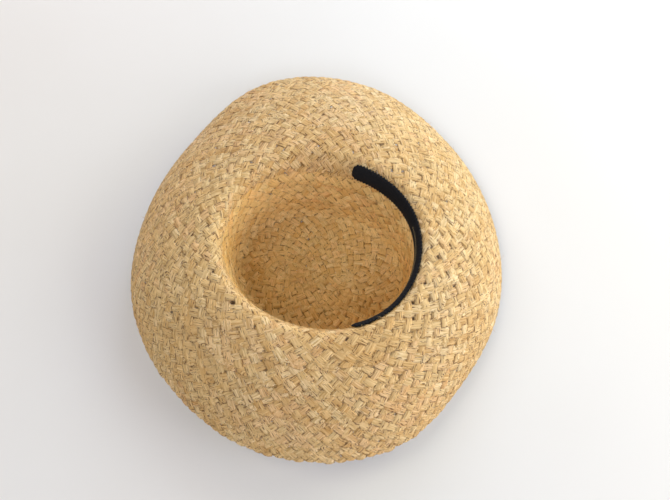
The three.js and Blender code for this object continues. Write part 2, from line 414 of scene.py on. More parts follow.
@dataclass(frozen=True)
class Raffia:
    """Dried raffia palm leaf, split by hand, twisted flat and plaited, left undyed."""

    # To the eye it is matt and lined along each strand. Its dark slits and darkened strand edges are partly
    # wear where the leaf split and partly painted shade in the gaps between strands.
    name: str = "raffia_split_leaf_plaited"
    # Leaf from several plants gives each strand its own cream, straw yellow or pinkish tan.
    tones: tuple = ("#e0ba7f", "#e7c48b", "#ebca93", "#e9cb95", "#f2d7a7", "#eac28d")
    groove: str = "#cfba92"
    # The dark brown that strand edges and slits are darkened to: partly worn leaf, partly painted shade
    # between strands.
    edge: str = "#5c3716"
    # Real fibres are about 0.3 mm wide; they are drawn coarser, so that they show.
    fibres: Streaks = Streaks(50 / 3, 1.1, 97.0, 3.0, 0.6)
    # Slits: partly splits in the leaf, partly painted shadow in the gaps between strands and at the seams.
    slits_and_gap_shadows: Streaks = Streaks(6.0, 0.8, 61.0, 1.0)
    blotch_mm: float = 14.0
    crack_mm: float = 3.0
    groove_depth: Ramp = Ramp(0.32, 0.68, 1.0, 0.0)
    blotch_gain: Ramp = Ramp(0.3, 0.7, 0.9, 1.06)
    edge_width: Ramp = Ramp(0.6, 1.0)
    # Where strand edges darken: partly wear, partly painted shade where one strand meets the next.
    edge_wear_and_shade: Ramp = Ramp(0.5, 0.62, 0.0, 0.85)
    # How dark the slits get: partly split leaf, partly painted shadow in the gaps between strands.
    slit_and_gap_shadow_depth: Ramp = Ramp(0.62, 0.68, 0.0, 0.95)
    roughness: float = 0.62
    specular: float = 0.35
    relief_mm: float = 0.22
    relief_strength: float = 0.6

    def build(self) -> Material:
        """Make the material.

        Returns:
            Raffia whose fibre lines run along every strand.
        """
        sockets = {"Roughness": self.roughness, "Specular IOR Level": self.specular}
        material, tree, shader = start_material(self.name, sockets)
        tone, rim = (
            add_node(tree, "ShaderNodeAttribute", attribute_name=name).outputs["Fac"]
            for name in ("tone", "rim")
        )
        strand = add_node(tree, "ShaderNodeAttribute", attribute_name="strand").outputs["Vector"]
        place = add_node(tree, "ShaderNodeTexCoord").outputs["Object"]
        # The tone as a third coordinate starts each strand elsewhere in the noise.
        start = add_node(tree, "ShaderNodeCombineXYZ", {"Z": tone}).outputs[0]
        moved = add_node(tree, "ShaderNodeVectorMath", {0: strand, 1: start}, operation="ADD").outputs[0]
        fibres, slits_and_gap_shadows = (marks.add(tree, moved) for marks in (self.fibres, self.slits_and_gap_shadows))
        blotches, cracks = (
            add_node(
                tree, "ShaderNodeTexNoise", {"Vector": place, "Scale": 1 / (size * MM), "Detail": detail}
            ).outputs["Fac"]
            for size, detail in ((self.blotch_mm, 2.0), (self.crack_mm, 1.0))
        )
        groove, gain, near_edge, worn, slit_and_gap_shadow = (
            add_node(tree, "ShaderNodeMapRange", ramp.of(value)).outputs[0]
            for ramp, value in (
                (self.groove_depth, fibres),
                (self.blotch_gain, blotches),
                (self.edge_width, rim),
                (self.edge_wear_and_shade, cracks),
                (self.slit_and_gap_shadow_depth, slits_and_gap_shadows),
            )
        )
        leaf = add_node(tree, "ShaderNodeValToRGB", {"Fac": tone})
        stops = leaf.color_ramp.elements
        last = len(self.tones) - 1
        while len(stops) <= last:
            stops.new(0.5)
        for i, colour in enumerate(self.tones):
            stops[i].position = i / last
            stops[i].color = linear(colour)
        lined = add_node(
            tree,
            "ShaderNodeMix",
            {0: groove, 6: leaf.outputs["Color"], 7: linear(self.groove)},
            data_type="RGBA",
            blend_type="MULTIPLY",
        ).outputs[2]
        lit = add_node(tree, "ShaderNodeVectorMath", {0: lined, "Scale": gain}, operation="SCALE").outputs[0]
        # Darker at strand edges and slits: partly wear, partly painted shade between strands.
        worn_and_shaded_edge = add_node(tree, "ShaderNodeMath", {0: near_edge, 1: worn}, operation="MULTIPLY").outputs[0]
        dark = add_node(tree, "ShaderNodeMath", {0: worn_and_shaded_edge, 1: slit_and_gap_shadow}, operation="MAXIMUM").outputs[0]
        inputs = {0: dark, 6: lit, 7: linear(self.edge)}
        colour = add_node(tree, "ShaderNodeMix", inputs, data_type="RGBA").outputs[2]
        inputs = {"Height": fibres, "Strength": self.relief_strength, "Distance": self.relief_mm * MM}
        tree.links.new(colour, shader.inputs["Base Color"])
        tree.links.new(add_node(tree, "ShaderNodeBump", inputs).outputs[0], shader.inputs["Normal"])
        return material


@dataclass(frozen=True)
class PressedRaffiaWarmBounce(Raffia):
    """The same leaf after the crown was wetted and pressed on a hat block."""

    # Pressing flattens the fibres and closes the slits, so the crown looks smoother. Its warmer, more golden
    # tones are partly painted warm light that bounces round inside the crown.
    name: str = "raffia_split_leaf_pressed"
    tones: tuple = ("#e6bb76", "#edc481", "#f0c988", "#eeca89", "#f6d599", "#f0c384")
    groove: str = "#e6dabd"
    slit_and_gap_shadow_depth: Ramp = Ramp(0.62, 0.68, 0.0, 0.4)
    relief_mm: float = 0.1


@dataclass(frozen=True)
class SewingThread:
    """Twisted cotton thread with a slight gloss."""

    # Its colour gets lighter and darker along it: painted light and shade of the twisted plies.
    name: str
    colour: str
    roughness: float = 0.5
    twist_mm: float = 0.6
    twist_painted_shade: Ramp = Ramp(0.0, 1.0, 0.7, 1.15)

    def build(self) -> Material:
        """Make the material.

        Returns:
            The thread.
        """
        material, tree, shader = start_material(self.name, {"Roughness": self.roughness})
        place = add_node(tree, "ShaderNodeTexCoord").outputs["Object"]
        inputs = {"Vector": place, "Scale": 1 / (self.twist_mm * MM)}
        twist = add_node(tree, "ShaderNodeTexNoise", inputs).outputs["Fac"]
        # Painted light and shade of the twist, lighter and darker along the thread.
        gain = add_node(tree, "ShaderNodeMapRange", self.twist_painted_shade.of(twist)).outputs[0]
        inputs = {0: linear(self.colour)[:3], "Scale": gain}
        lit = add_node(tree, "ShaderNodeVectorMath", inputs, operation="SCALE").outputs[0]
        tree.links.new(lit, shader.inputs["Base Color"])
        return material


SEAM_THREAD = SewingThread("cotton_thread_straw_yellow", "#c9ad78")
STRIP_THREAD = SewingThread("cotton_thread_old_gold", "#a8946a")


@dataclass(frozen=True)
class CoveredRibbon:
    """Black cotton grosgrain ribbon, woven with cross ribs."""

    # To the eye it is a dull black, slightly greyer on top of each rib.
    name: str = "cotton_grosgrain_dyed_black"
    colour: str = "#050507"
    worn: str = "#141419"
    rib_mm: float = 1.3
    wobble: float = 1.5
    relief_mm: float = 0.2
    relief_strength: float = 0.6
    roughness: float = 0.85
    specular: float = 0.25
    sheen: float = 0.02
    # The wave texture counts 20 radians to a unit of its scale.
    wave_unit: float = 20.0

    def build(self) -> Material:
        """Make the material.

        Returns:
            The ribbon, with ribs across it.
        """
        sockets = {
            "Roughness": self.roughness,
            "Specular IOR Level": self.specular,
            "Sheen Weight": self.sheen,
        }
        material, tree, shader = start_material(self.name, sockets)
        strand = add_node(tree, "ShaderNodeAttribute", attribute_name="strand").outputs["Vector"]
        scale = 2 * math.pi / (self.rib_mm * MM) / self.wave_unit
        inputs = {"Vector": strand, "Scale": scale, "Distortion": self.wobble, "Detail": 2.0}
        wave = add_node(tree, "ShaderNodeTexWave", inputs, bands_direction="X").outputs["Fac"]
        inputs = {0: wave, 6: linear(self.colour), 7: linear(self.worn)}
        mixed = add_node(tree, "ShaderNodeMix", inputs, data_type="RGBA").outputs[2]
        inputs = {"Height": wave, "Strength": self.relief_strength, "Distance": self.relief_mm * MM}
        tree.links.new(mixed, shader.inputs["Base Color"])
        tree.links.new(add_node(tree, "ShaderNodeBump", inputs).outputs[0], shader.inputs["Normal"])
        return material


@dataclass(frozen=True)
class PaleTable:
    """A white painted board, nearly matt."""

    # To the eye the rolled paint is almost even, with very faint patches.
    name: str = "painted_board_white"
    colour: str = "#e5e1dc"
    worn: str = "#e8e5e1"
    patches_per_m: float = 6.0
    roughness: float = 0.6

    def build(self) -> Material:
        """Make the material.

        Returns:
            The paint.
        """
        material, tree, shader = start_material(self.name, {"Roughness": self.roughness})
        place = add_node(tree, "ShaderNodeTexCoord").outputs["Object"]
        inputs = {"Vector": place, "Scale": self.patches_per_m}
        noise = add_node(tree, "ShaderNodeTexNoise", inputs).outputs["Fac"]
        inputs = {0: noise, 6: linear(self.colour), 7: linear(self.worn)}
        mixed = add_node(tree, "ShaderNodeMix", inputs, data_type="RGBA").outputs[2]
        tree.links.new(mixed, shader.inputs["Base Color"])
        return material


def tube_faces(rings: int, sides: int, ring_closed: bool = False) -> list:
    """Give the faces of a tube of rings.

    Args:
        rings: count of rings.
        sides: count of vertices in a ring.
        ring_closed: True if the last ring joins the first, False for a flat face at each end.

    Returns:
        Lists of vertex numbers, all facing the same way.
    """
    faces = []
    for ring in range(rings if ring_closed else rings - 1):
        low, high = ring * sides, (ring + 1) % rings * sides
        for side in range(sides):
            after = (side + 1) % sides
            faces.append([low + side, low + after, high + after, high + side])
    if not ring_closed:
        faces.append([sides - 1 - side for side in range(sides)])
        faces.append([(rings - 1) * sides + side for side in range(sides)])
    return faces


@dataclass
class Strand:
    """One strand as it crosses a flat plait once, folded over at both edges, in metres."""

    width: float
    crossings: int
    seed: int = 1
    thickness: float = 0.42 * MM
    least_thickness: float = 0.12
    wave: float = 0.25 * MM
    wave_lean: float = 0.8
    cover: float = 1.07
    fold: float = 2.4 * MM
    fold_rounding: float = 0.85
    crease: float = 0.15 * MM
    swing: float = 0.05
    width_waves: tuple = (5, 9)
    steps_per_crossing: int = 4
    fold_steps: int = 3
    top_points: int = 7

    def section(self) -> tuple[np.ndarray, np.ndarray]:
        """Give the places across the strand and the half thickness there, once round the section.

        Returns:
            The places as shares of the width, and the half thicknesses in metres.
        """
        across = np.linspace(-0.5, 0.5, self.top_points)
        half = self.thickness / 2 * np.sqrt(np.clip(1 - (2 * across) ** 4, self.least_thickness, 1))
        creases = self.crease * np.cos(np.arange(self.top_points) * math.pi)
        # The underside is hardly seen and has only every third point.
        under = across[::-3]
        return np.concatenate([across, under]), np.concatenate([half + creases, -half[::-3]])

    def build(self) -> Object:
        """Make the hidden object that the plait repeats.

        Returns:
            One strand leaning right, from one edge of the plait at y = 0 to the other.
        """
        pitch = 2 * self.width / self.crossings
        across, half = self.section()
        body = np.linspace(0, self.width, self.crossings * self.steps_per_crossing + 1)
        turns = np.linspace(math.pi / 2, 0, self.fold_steps, endpoint=False)
        rows = [(0.0, -turn) for turn in turns] + [(v, 0.0) for v in body]
        rows += [(self.width, turn) for turn in turns[::-1]]
        swing = np.random.default_rng(self.seed).uniform(-self.swing, self.swing, 4)
        slow, fast = self.width_waves
        points, strand, rim = [], [], []
        for v, turn in rows:
            share = v / self.width
            bow = pitch * (swing[0] * math.sin(math.pi * share) + swing[1] * math.sin(2 * math.pi * share))
            wide = 1 + swing[2] * math.sin(slow * share) + swing[3] * math.cos(fast * share)
            phase = math.pi * (2 * v / pitch + across * self.cover * self.wave_lean)
            level = -self.wave * np.cos(phase)
            level = (level - half) * math.cos(turn) if turn else level + half
            side = math.sin(turn)
            y = v + side * (self.fold * np.cos(across * math.pi * self.fold_rounding) + half)
            x = v + bow + across * self.cover * pitch * wide
            points.append(np.stack([x, y, level], axis=1))
            along = np.full_like(across, (v + side * self.fold) * math.sqrt(2))
            strand.append(np.stack([along, across * pitch / math.sqrt(2), 0 * across], axis=1))
            rim.append(np.abs(across) * 2)
        mesh = bpy.data.meshes.new("strand")
        mesh.from_pydata(np.concatenate(points).tolist(), [], tube_faces(len(rows), len(across)))
        store(mesh, "strand", np.concatenate(strand))
        store(mesh, "rim", np.concatenate(rim))
        smooth(mesh)
        return bpy.data.objects.new("strand", mesh)


class Pattern:
    """Geometry Nodes with named inputs, run on a mesh to give another plain mesh."""

    def __init__(self, name: str, kinds: dict[str, str]) -> None:
        """Start a tree.

        Args:
            name: the tree's name.
            kinds: each input's name, to the kind of its socket. Seed and Finish are added to them.
        """
        self.tree = bpy.data.node_groups.new(name, "GeometryNodeTree")
        face = self.tree.interface
        face.new_socket("Geometry", in_out="OUTPUT", socket_type="NodeSocketGeometry")
        face.new_socket("Geometry", in_out="INPUT", socket_type="NodeSocketGeometry")
        kinds = kinds | {"Seed": "Int", "Finish": "Material"}
        self.sockets = {
            key: face.new_socket(key, in_out="INPUT", socket_type=f"NodeSocket{kind}").identifier
            for key, kind in kinds.items()
        }
        self.given = self.tree.nodes.new("NodeGroupInput").outputs
        self.empty = bpy.data.meshes.new("empty")

    def end(self, instances: NodeSocket) -> None:
        """Make the instances real, give them their finish and put them out.

        Args:
            instances: the socket that gives them.
        """
        real = add_node(self.tree, "GeometryNodeRealizeInstances", {"Geometry": instances}).outputs[0]
        inputs = {"Geometry": real, "Material": self.given["Finish"]}
        finished = add_node(self.tree, "GeometryNodeSetMaterial", inputs).outputs[0]
        self.tree.links.new(finished, self.tree.nodes.new("NodeGroupOutput").inputs[0])

    def run(self, name: str, base: Mesh | None = None, **values) -> Mesh:
        """Run the tree and give its result as a plain mesh.

        Args:
            name: the new mesh's name.
            base: the mesh that the tree works on, if any.
            **values: the tree's inputs, with spaces as underscores.

        Returns:
            The new mesh.
        """
        carrier = in_scene("carrier", base or self.empty)
        modifier = carrier.modifiers.new(name, "NODES")
        modifier.node_group = self.tree
        for key, value in values.items():
            modifier[self.sockets[key.replace("_", " ")]] = value
        graph = bpy.context.evaluated_depsgraph_get()
        mesh = bpy.data.meshes.new_from_object(carrier.evaluated_get(graph))
        bpy.data.objects.remove(carrier)
        mesh.name = name
        return mesh


class PlaitTree(Pattern):
    """Strands laid side by side, leaning both ways, as one flat plait."""

    # How many shapes of strand it draws from, and the most that it turns one, in radians.
    SHAPES: int = 6
    SKEW: float = 0.06

    def __init__(self) -> None:
        """Build the tree once for all rows."""
        kinds = {
            "Strand shapes": "Collection",
            "Strands": "Int",
            "Pitch": "Float",
            "Width": "Float",
            "Crossings": "Int",
            "Wander": "Float",
            "Ragged": "Float",
        }
        super().__init__("flat_plait", kinds)
        tree, given = self.tree, self.given
        inputs = {"Collection": given["Strand shapes"], "Separate Children": True, "Reset Children": True}
        strand = add_node(tree, "GeometryNodeCollectionInfo", inputs).outputs[0]
        # A strand that folds at the edge goes on as the one that starts half the crossings further back.
        index = add_node(tree, "GeometryNodeInputIndex").outputs[0]
        inputs = {0: given["Crossings"], 1: 0.5}
        half = add_node(tree, "ShaderNodeMath", inputs, operation="MULTIPLY").outputs[0]
        back = add_node(tree, "ShaderNodeMath", {0: index, 1: half}, operation="SUBTRACT").outputs[0]
        inputs = {0: back, 1: given["Strands"]}
        same = add_node(tree, "ShaderNodeMath", inputs, operation="FLOORED_MODULO").outputs[0]
        step = add_node(tree, "ShaderNodeCombineXYZ", {"X": given["Pitch"]}).outputs[0]
        inputs = {"X": given["Wander"], "Y": given["Ragged"]}
        most = add_node(tree, "ShaderNodeCombineXYZ", inputs).outputs[0]
        least = add_node(tree, "ShaderNodeVectorMath", {0: most, "Scale": -1.0}, operation="SCALE").outputs[0]
        joined = add_node(tree, "GeometryNodeJoinGeometry")
        for side in Side:
            right = side is Side.RIGHT
            draw = {"ID": index, "Seed": given["Seed"]}
            origin = add_node(tree, "ShaderNodeCombineXYZ", {} if right else {"Y": given["Width"]}).outputs[0]
            inputs = {"Count": given["Strands"], "Start Location": origin, "Offset": step}
            line = add_node(tree, "GeometryNodeMeshLine", inputs).outputs[0]
            offset = add_node(
                tree, "FunctionNodeRandomValue", {0: least, 1: most, **draw}, data_type="FLOAT_VECTOR"
            ).outputs[0]
            moved = add_node(tree, "GeometryNodeSetPosition", {"Geometry": line, "Offset": offset}).outputs[0]
            shape = add_node(
                tree, "FunctionNodeRandomValue", {4: 0, 5: self.SHAPES - 1, **draw}, data_type="INT"
            ).outputs[2]
            inputs = {
                "Points": moved,
                "Instance": strand,
                "Pick Instance": True,
                "Instance Index": shape,
                "Rotation": (0.0 if right else math.pi, 0.0, 0.0),
            }
            laid = add_node(tree, "GeometryNodeInstanceOnPoints", inputs).outputs[0]
            inputs = {0: (0.0, 0.0, -self.SKEW), 1: (0.0, 0.0, self.SKEW), **draw}
            skew = add_node(tree, "FunctionNodeRandomValue", inputs, data_type="FLOAT_VECTOR").outputs[0]
            inputs = {"Instances": laid, "Rotation": skew}
            turned = add_node(tree, "GeometryNodeRotateInstances", inputs).outputs[0]
            inputs = {2: 0.0, 3: 1.0, **draw, "ID": index if right else same}
            tone = add_node(tree, "FunctionNodeRandomValue", inputs, data_type="FLOAT").outputs[1]
            named = add_node(
                tree,
                "GeometryNodeStoreNamedAttribute",
                {"Geometry": turned, "Name": "tone", "Value": tone},
                data_type="FLOAT",
                domain="INSTANCE",
            ).outputs[0]
            tree.links.new(named, joined.inputs[0])
        self.end(joined.outputs[0])


class StitchTree(Pattern):
    """Stitches of thread, one after another along a line."""

    # The most that a stitch is turned, in radians.
    SLANT: float = 0.12

    def __init__(self) -> None:
        """Build the tree once for all seams."""
        super().__init__("row_of_stitches", {"Stitch": "Object", "Stitches": "Int", "Pitch": "Float"})
        tree, given = self.tree, self.given
        stitch = add_node(tree, "GeometryNodeObjectInfo", {"Object": given["Stitch"]}).outputs["Geometry"]
        step = add_node(tree, "ShaderNodeCombineXYZ", {"X": given["Pitch"]}).outputs[0]
        line = add_node(tree, "GeometryNodeMeshLine", {"Count": given["Stitches"], "Offset": step}).outputs[0]
        inputs = {0: (0.0, 0.0, -self.SLANT), 1: (0.0, 0.0, self.SLANT), "Seed": given["Seed"]}
        slant = add_node(tree, "FunctionNodeRandomValue", inputs, data_type="FLOAT_VECTOR").outputs[0]
        inputs = {"Points": line, "Instance": stitch, "Rotation": slant}
        self.end(add_node(tree, "GeometryNodeInstanceOnPoints", inputs).outputs[0])


class LooseFibreTree(Pattern):
    """Short fibres that have split off the strands and stand a little proud of them."""

    # The most that a fibre is turned about each axis, in radians, and its least and greatest size.
    TURN: tuple = (0.15, 0.1, 3.14)
    SIZES: tuple = (0.5, 1.3)

    def __init__(self) -> None:
        """Build the tree once for crown and brim."""
        super().__init__("loose_fibres", {"Fibre": "Object", "Density": "Float", "Above": "Float"})
        tree, given = self.tree, self.given
        fibre = add_node(tree, "GeometryNodeObjectInfo", {"Object": given["Fibre"]}).outputs["Geometry"]
        place = add_node(tree, "GeometryNodeInputPosition").outputs[0]
        height = add_node(tree, "ShaderNodeSeparateXYZ", {0: place}).outputs["Z"]
        clear = add_node(tree, "FunctionNodeCompare", {0: height, 1: given["Above"]}).outputs[0]
        draw = {"Seed": given["Seed"]}
        inputs = {"Mesh": given["Geometry"], "Selection": clear, "Density": given["Density"], **draw}
        roots = add_node(tree, "GeometryNodeDistributePointsOnFaces", inputs).outputs
        inputs = {"Points": roots["Points"], "Instance": fibre, "Rotation": roots["Rotation"]}
        laid = add_node(tree, "GeometryNodeInstanceOnPoints", inputs).outputs[0]
        inputs = {0: tuple(-angle for angle in self.TURN), 1: self.TURN, **draw}
        spin = add_node(tree, "FunctionNodeRandomValue", inputs, data_type="FLOAT_VECTOR").outputs[0]
        spun = add_node(tree, "GeometryNodeRotateInstances", {"Instances": laid, "Rotation": spin}).outputs[0]
        inputs = {2: self.SIZES[0], 3: self.SIZES[1], **draw}
        size = add_node(tree, "FunctionNodeRandomValue", inputs, data_type="FLOAT").outputs[1]
        sized = add_node(tree, "GeometryNodeScaleInstances", {"Instances": spun, "Scale": size}).outputs[0]
        inputs = {2: 0.0, 3: 1.0, **draw}
        tone = add_node(tree, "FunctionNodeRandomValue", inputs, data_type="FLOAT").outputs[1]
        named = add_node(
            tree,
            "GeometryNodeStoreNamedAttribute",
            {"Geometry": sized, "Name": "tone", "Value": tone},
            data_type="FLOAT",
            domain="INSTANCE",
        ).outputs[0]
        self.end(named)


def hidden_shape(name: str, rings: list, ring_closed: bool) -> Object:
    """Make an object that a pattern repeats, from rings of points.

    Args:
        name: its name.
        rings: arrays of points, one a ring.
        ring_closed: True if the last ring joins the first, False for a tube with closed ends.

    Returns:
        The object, linked nowhere.
    """
    mesh = bpy.data.meshes.new(name)
    faces = tube_faces(len(rings), len(rings[0]), ring_closed)
    mesh.from_pydata(np.concatenate(rings).tolist(), [], faces)
    smooth(mesh)
    outward(mesh)
    return bpy.data.objects.new(name, mesh)


@dataclass
class ThreadLoop:
    """One stitch: a loop of thread that goes down through the straw and comes up again."""

    length: float = 2.8 * MM
    slant: float = 0.3
    top: float = 0.8 * MM
    bottom: float = -1.6 * MM
    thread: float = 0.2 * MM
    squareness: float = 0.6
    rings: int = 8
    sides: int = 3

    def build(self) -> Object:
        """Make the loop.

        Returns:
            The hidden stitch, lengthwise along X.
        """
        middle, half = (self.top + self.bottom) / 2, (self.top - self.bottom) / 2
        rings = []
        for turn in np.linspace(0, 2 * math.pi, self.rings, endpoint=False):
            c, n = math.cos(turn), math.sin(turn)
            x = self.length / 2 * math.copysign(abs(c) ** self.squareness, c)
            z = half * math.copysign(abs(n) ** self.squareness, n)
            centre = np.array([x, self.slant * x, middle + z])
            out, aside = np.array([c, 0, n]), np.array([0, 1, 0])
            around = np.linspace(0, 2 * math.pi, self.sides, endpoint=False)
            ring = [centre + self.thread * (math.cos(a) * out + math.sin(a) * aside) for a in around]
            rings.append(np.array(ring))
        return hidden_shape("stitch", rings, ring_closed=True)


@dataclass
class SplitFibre:
    """One short fibre that lies almost flat and curls up at its tip."""

    length: float = 5.0 * MM
    rise: float = 0.9 * MM
    aside: float = 0.15
    thick: float = 0.17 * MM
    taper: float = 0.75
    rings: int = 4
    sides: int = 3

    def build(self) -> Object:
        """Make the fibre.

        Returns:
            The hidden fibre, from the origin along X.
        """
        rings = []
        for share in np.linspace(0, 1, self.rings):
            sideways = self.length * self.aside * share**2
            centre = np.array([self.length * share, sideways, self.rise * share**1.5])
            radius = self.thick * (1 - self.taper * share)
            around = np.linspace(0, 2 * math.pi, self.sides, endpoint=False)
            ring = [centre + radius * np.array([0, math.cos(a), math.sin(a)]) for a in around]
            rings.append(np.array(ring))
        return hidden_shape("split_fibre", rings, ring_closed=False)


def joined_mesh(name: str, parts: list[Mesh]) -> Mesh:
    """Join plain meshes that share one finish.

    Args:
        name: the new mesh's name.
        parts: the meshes.

    Returns:
        One mesh of all of them.
    """
    whole = bmesh.new()
    for part in parts:
        whole.from_mesh(part)
    mesh = bpy.data.meshes.new(name)
    whole.to_mesh(mesh)
    whole.free()
    for finish in parts[0].materials:
        mesh.materials.append(finish)
    return mesh


@dataclass(frozen=True)
class Row:
    """One round of braid: its ends in rows, its crossings, its lift at both ends, and which end shows."""

    name: str
    node: str
    start: float
    end: float
    crossings: int
    first_lift: float
    last_lift: float
    start_shows: bool
    end_shows: bool


@dataclass
class StrawRows:
    """The crown and the brim: rounds of flat plait, sewn with one edge over the next round.

    Seen from the head's side, a round of the crown lies over the one nearer the tip, and a round of the brim
    over the one further out.
    """

    surface: HatSurface
    finishes: dict[str, Material]
    thread: Material
    crossings: int = 6
    crossings_behind_collar: int = 4
    crossings_with_collar: int = 8
    lap_before: float = 2.5 * MM
    lap_after: float = 6 * MM
    # The brim's first round goes on down inside the opening as a collar, over the crown's last round.
    collar: float = 11 * MM
    behind_collar: float = 0.8 * MM
    wander: float = 1.0 * MM
    ragged: float = 1.9 * MM
    ragged_free_edge: float = 0.8 * MM
    curl: float = 0.25 * MM
    curl_reach: float = 3.5 * MM
    stitch_pitch: float = 10 * MM
    seam_from_edge: float = 2.4 * MM
    fibres_per_m2: float = 4000.0
    # Loose fibres keep clear of the table.
    fibres_above: float = 9 * MM
    shape_seed_step: int = 10
    plait_seed_step: int = 31
    plait_seed: int = 7

    def __post_init__(self) -> None:
        """Make the patterns and the hidden shapes that they repeat."""
        self.plaits, self.fuzz, self.stitches = PlaitTree(), LooseFibreTree(), StitchTree()
        self.stitch, self.fibre = ThreadLoop().build(), SplitFibre().build()

    def rows(self) -> list[Row]:
        """List the rounds from the centre of the tip out to the edge of the brim.

        Returns:
            The rounds in order.
        """
        hat = self.surface
        seam = hat.brk - self.collar / hat.wall_row_width
        ends = [*range(hat.brk), seam, *range(hat.brk + 1, hat.edge + 1)]
        beside_collar = {hat.brk - 1: self.crossings_behind_collar, hat.brk: self.crossings_with_collar}
        result = []
        for i, (start, end) in enumerate(zip(ends, ends[1:])):
            brim = start >= seam
            node, number = ("brim", i - hat.brk + 1) if brim else ("crown", i + 1)
            start_shows = 0 < i <= hat.brk
            first = 0.0 if start_shows else hat.seam_step
            last = 0.0 if brim else hat.seam_step
            if end == seam:
                last += self.behind_collar
            crossings = beside_collar.get(i, self.crossings)
            name = f"{node}_braid_{number}"
            result.append(Row(name, node, start, end, crossings, first, last, start_shows, brim))
        return result

    def span(self, row: Row) -> tuple[float, float]:
        """Give where a round starts, as a distance across the braids, and its width, both with its laps.

        Args:
            row: the round.

        Returns:
            The start and the width in metres.
        """
        begin = max(0.0, self.surface.distance_at(row.start) - self.lap_before)
        end = self.surface.distance_at(row.end)
        if row.end < self.surface.edge:
            end += self.lap_after
        return begin, end - begin

    def bend(self, mesh: Mesh, row: Row, round_length: float) -> None:
        """Carry a flat plait or a line of stitches onto the hat's surface.

        Args:
            mesh: the flat mesh, changed in place.
            row: the round that it becomes.
            round_length: the flat length that goes once round the hat.
        """
        begin, width = self.span(row)
        x, y, z = points_of(mesh).T
        turns, lengths = self.surface.ring((row.start + row.end) / 2)
        share = x / round_length
        whole = np.floor(share)
        direction = np.interp((share - whole) * lengths[-1], lengths, turns) + whole * 2 * math.pi
        rows = self.surface.rows_at(np.clip(begin + y, 0, None))
        lift = row.first_lift + (row.last_lift - row.first_lift) * np.clip(y / width, 0, 1)
        lift -= self.curl * np.exp(-np.clip(y, 0, None) / self.curl_reach) * row.start_shows
        lift -= self.curl * np.exp(-np.clip(width - y, 0, None) / self.curl_reach) * row.end_shows
        points = self.surface.point(rows, direction)
        points += self.surface.normal(rows, direction) * (lift - z)[:, None]
        move_points(mesh, points)
        outward(mesh)

    def seam(self, row: Row, at_end: bool, seed: int) -> Mesh:
        """Sew one edge of a round down.

        Args:
            row: the round.
            at_end: True for the edge at the round's end, False for the one at its start.
            seed: the seed of the stitches' slant.

        Returns:
            The stitches, in place.
        """
        length = self.surface.ring(row.end if at_end else row.start)[1][-1]
        count = round(length / self.stitch_pitch)
        inputs = {"Stitches": count, "Pitch": length / count, "Seed": seed, "Finish": self.thread}
        mesh = self.stitches.run("seam", Stitch=self.stitch, **inputs)
        points = points_of(mesh)
        points[:, 1] += self.span(row)[1] - self.seam_from_edge if at_end else self.seam_from_edge
        move_points(mesh, points)
        self.bend(mesh, row, length)
        return mesh

    def plait(self, row: Row, number: int) -> Mesh:
        """Plait one round and carry it onto the hat.

        Args:
            row: the round.
            number: its place in the list of rounds, which sets its seeds.

        Returns:
            The round, in place.
        """
        width = self.span(row)[1]
        pitch = 2 * width / row.crossings
        count = round(self.surface.ring((row.start + row.end) / 2)[1][-1] / pitch)
        shapes = bpy.data.collections.new(row.name + "_strands")
        for shape in range(PlaitTree.SHAPES):
            seed = shape + self.shape_seed_step * number
            shapes.objects.link(Strand(width, row.crossings, seed).build())
        mesh = self.plaits.run(
            row.name,
            Strand_shapes=shapes,
            Strands=count,
            Pitch=pitch,
            Width=width,
            Crossings=row.crossings,
            Wander=self.wander,
            Ragged=self.ragged if row.end < self.surface.edge else self.ragged_free_edge,
            Seed=number * self.plait_seed_step + self.plait_seed,
            Finish=self.finishes[row.node],
        )
        self.bend(mesh, row, pitch * count)
        return mesh

    def build(self) -> None:
        """Make every round, sew them, add the loose fibres, and put each piece into the scene."""
        extras = {f"{node}_{kind}": [] for node in ("crown", "brim") for kind in ("seams", "loose_fibres")}
        for number, row in enumerate(self.rows()):
            mesh = self.plait(row, number)
            settle(mesh, row.node)
            inputs = {"Density": self.fibres_per_m2, "Above": self.fibres_above, "Seed": number}
            loose = self.fuzz.run("loose", mesh, Fibre=self.fibre, Finish=self.finishes[row.node], **inputs)
            extras[f"{row.node}_loose_fibres"].append(loose)
            for at_end, shows in enumerate((row.start_shows, row.end_shows)):
                if shows:
                    extras[f"{row.node}_seams"].append(self.seam(row, bool(at_end), number))
        for name, parts in extras.items():
            node = name.split("_")[0]
            settle(joined_mesh(name, parts), node)


